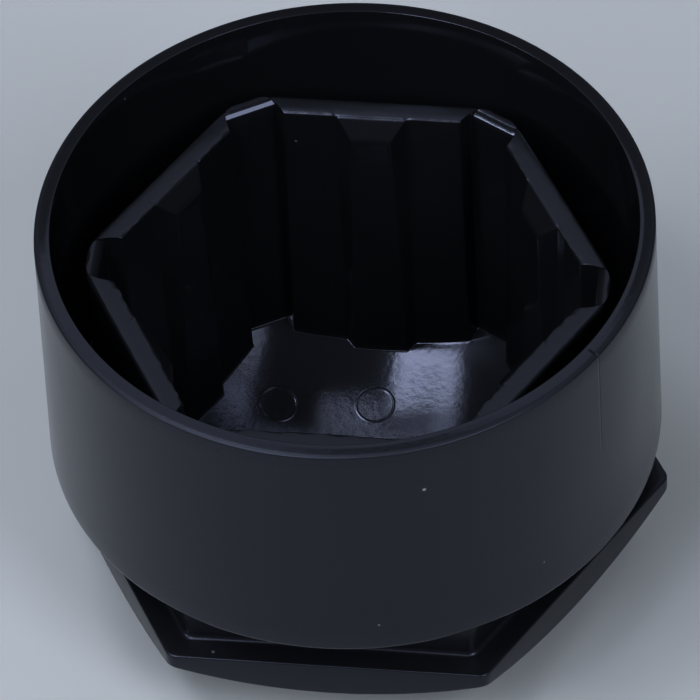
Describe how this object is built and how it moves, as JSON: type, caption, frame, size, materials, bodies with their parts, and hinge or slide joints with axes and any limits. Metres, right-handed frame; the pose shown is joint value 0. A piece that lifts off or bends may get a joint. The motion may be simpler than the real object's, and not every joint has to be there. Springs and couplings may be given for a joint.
{
  "type": "wheel nut cover cap",
  "caption": "One-piece moulded cap that covers a wheel bolt head: round skirt, hexagonal head, ribbed hexagonal socket inside.",
  "frame": {"origin": "on the cap's axis, at the flat spot in the middle of the head's domed end, where the cap stands", "axes": "+Z along the axis from the head to the open rim; +X through a corner of the hexagons; +Y square to one of their flats"},
  "size_m": [0.0272, 0.0268, 0.0198],
  "materials": {
    "black_plastic": "satin gloss, as moulded"
  },
  "bodies": {
    "root": {"cover_cap": "black_plastic"}
  },
  "joints": []
}
